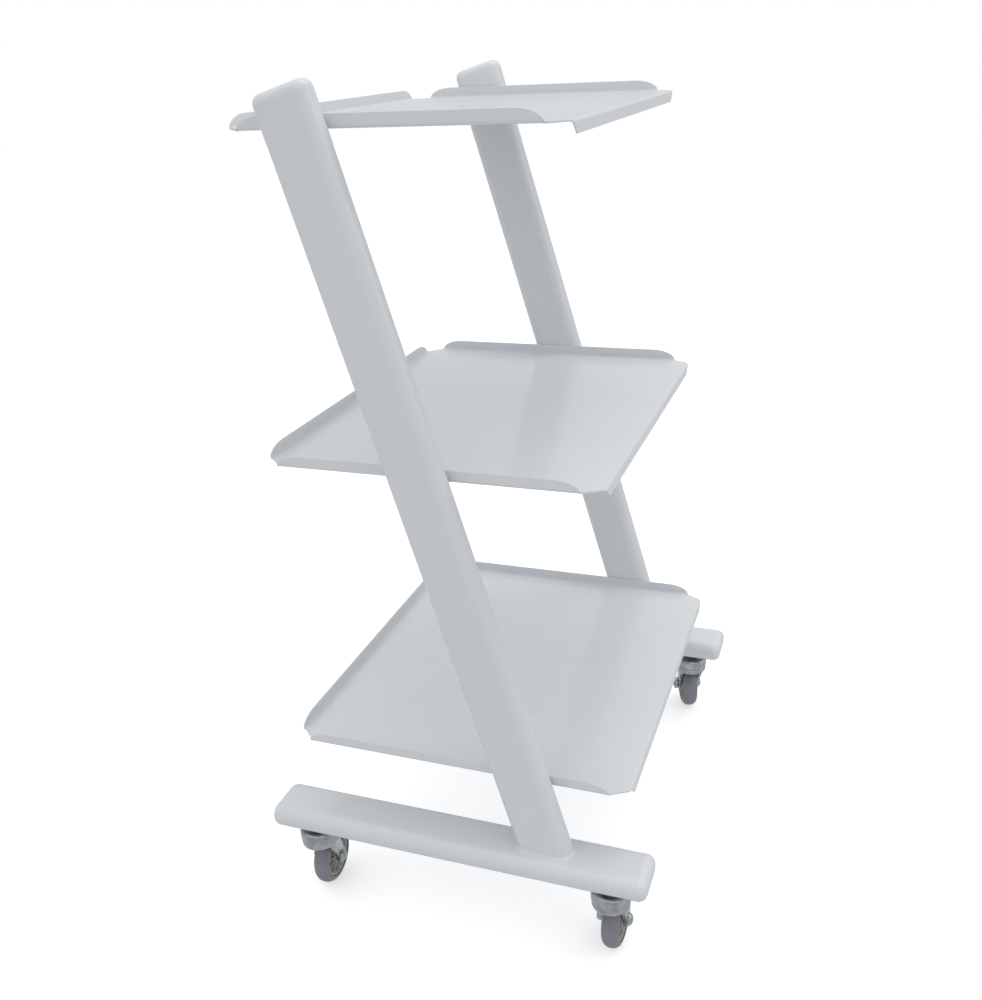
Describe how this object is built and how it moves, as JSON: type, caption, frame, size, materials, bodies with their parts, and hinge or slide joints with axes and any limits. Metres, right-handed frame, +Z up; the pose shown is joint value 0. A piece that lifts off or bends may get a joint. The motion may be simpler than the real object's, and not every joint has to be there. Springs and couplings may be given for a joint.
{
  "type": "rolling salon trolley",
  "caption": "Open trolley with folded sheet trays between two leaning flat-oval tube uprights, each on a horizontal foot tube with swivel castors.",
  "frame": {"origin": "middle of the outer box at floor level, between the four castors", "axes": "+Z up, -Y towards the folded front edge of the trays, +Y towards the raised rear flange of the trays, X across from the left side frame (-X) to the right one (+X)"},
  "size_m": [0.5268, 0.405, 0.8398],
  "materials": {
    "white_powder_coat": "glossy white powder coat on folded sheet and tube",
    "white_end_cap": "moulded white plastic end cap",
    "zinc_plate": "bright zinc plate on pressed steel",
    "dark_steel": "plain oiled steel",
    "grey_tread": "grey non-marking rubber tread",
    "pale_nylon": "moulded nylon wheel centre"
  },
  "bodies": {
    "frame": {"left_foot_tube": "white_powder_coat", "left_foot_front_cap": "white_end_cap", "left_foot_rear_cap": "white_end_cap", "left_upright_tube": "white_powder_coat", "left_upright_cap": "white_end_cap", "right_foot_tube": "white_powder_coat", "right_foot_front_cap": "white_end_cap", "right_foot_rear_cap": "white_end_cap", "right_upright_tube": "white_powder_coat", "right_upright_cap": "white_end_cap", "top_tray": "white_powder_coat", "middle_tray": "white_powder_coat", "bottom_tray": "white_powder_coat", "left_front_castor_insert": "dark_steel", "left_front_castor_stem": "dark_steel", "left_front_castor_lock_nut": "dark_steel", "left_front_castor_upper_race": "zinc_plate", "left_front_castor_ball_ring": "dark_steel", "left_rear_castor_insert": "dark_steel", "left_rear_castor_stem": "dark_steel", "left_rear_castor_lock_nut": "dark_steel", "left_rear_castor_upper_race": "zinc_plate", "left_rear_castor_ball_ring": "dark_steel", "right_front_castor_insert": "dark_steel", "right_front_castor_stem": "dark_steel", "right_front_castor_lock_nut": "dark_steel", "right_front_castor_upper_race": "zinc_plate", "right_front_castor_ball_ring": "dark_steel", "right_rear_castor_insert": "dark_steel", "right_rear_castor_stem": "dark_steel", "right_rear_castor_lock_nut": "dark_steel", "right_rear_castor_upper_race": "zinc_plate", "right_rear_castor_ball_ring": "dark_steel"},
    "left_front_swivel": {"left_front_castor_fork": "zinc_plate", "left_front_castor_axle_bolt": "zinc_plate", "left_front_castor_axle_nut": "zinc_plate", "left_front_castor_bush": "dark_steel"},
    "left_front_wheel": {"left_front_castor_tyre": "grey_tread", "left_front_castor_hub": "pale_nylon"},
    "left_rear_swivel": {"left_rear_castor_fork": "zinc_plate", "left_rear_castor_axle_bolt": "zinc_plate", "left_rear_castor_axle_nut": "zinc_plate", "left_rear_castor_bush": "dark_steel"},
    "left_rear_wheel": {"left_rear_castor_tyre": "grey_tread", "left_rear_castor_hub": "pale_nylon"},
    "right_front_swivel": {"right_front_castor_fork": "zinc_plate", "right_front_castor_axle_bolt": "zinc_plate", "right_front_castor_axle_nut": "zinc_plate", "right_front_castor_bush": "dark_steel"},
    "right_front_wheel": {"right_front_castor_tyre": "grey_tread", "right_front_castor_hub": "pale_nylon"},
    "right_rear_swivel": {"right_rear_castor_fork": "zinc_plate", "right_rear_castor_axle_bolt": "zinc_plate", "right_rear_castor_axle_nut": "zinc_plate", "right_rear_castor_bush": "dark_steel"},
    "right_rear_wheel": {"right_rear_castor_tyre": "grey_tread", "right_rear_castor_hub": "pale_nylon"}
  },
  "joints": [
    {"name": "left_front_castor_swivel", "type": "hinge", "parent": "frame", "child": "left_front_swivel", "pos_m": [-0.2359, -0.1625, 0.07], "axis": [0, 0, 1], "continuous": true},
    {"name": "left_front_wheel_spin", "type": "hinge", "parent": "left_front_swivel", "child": "left_front_wheel", "pos_m": [-0.2169, -0.16283, 0.031], "axis": [0.0175, 0.9998, 0], "continuous": true},
    {"name": "left_rear_castor_swivel", "type": "hinge", "parent": "frame", "child": "left_rear_swivel", "pos_m": [-0.2359, 0.1625, 0.07], "axis": [0, 0, 1], "continuous": true},
    {"name": "left_rear_wheel_spin", "type": "hinge", "parent": "left_rear_swivel", "child": "left_rear_wheel", "pos_m": [-0.21691, 0.16316, 0.031], "axis": [-0.0349, 0.9994, 0], "continuous": true},
    {"name": "right_front_castor_swivel", "type": "hinge", "parent": "frame", "child": "right_front_swivel", "pos_m": [0.2141, -0.1625, 0.07], "axis": [0, 0, 1], "continuous": true},
    {"name": "right_front_wheel_spin", "type": "hinge", "parent": "right_front_swivel", "child": "right_front_wheel", "pos_m": [0.23196, -0.156, 0.031], "axis": [-0.342, 0.9397, 0], "continuous": true},
    {"name": "right_rear_castor_swivel", "type": "hinge", "parent": "frame", "child": "right_rear_swivel", "pos_m": [0.2141, 0.1625, 0.07], "axis": [0, 0, 1], "continuous": true},
    {"name": "right_rear_wheel_spin", "type": "hinge", "parent": "right_rear_swivel", "child": "right_rear_wheel", "pos_m": [0.23281, 0.1658, 0.031], "axis": [-0.1736, 0.9848, 0], "continuous": true}
  ]
}
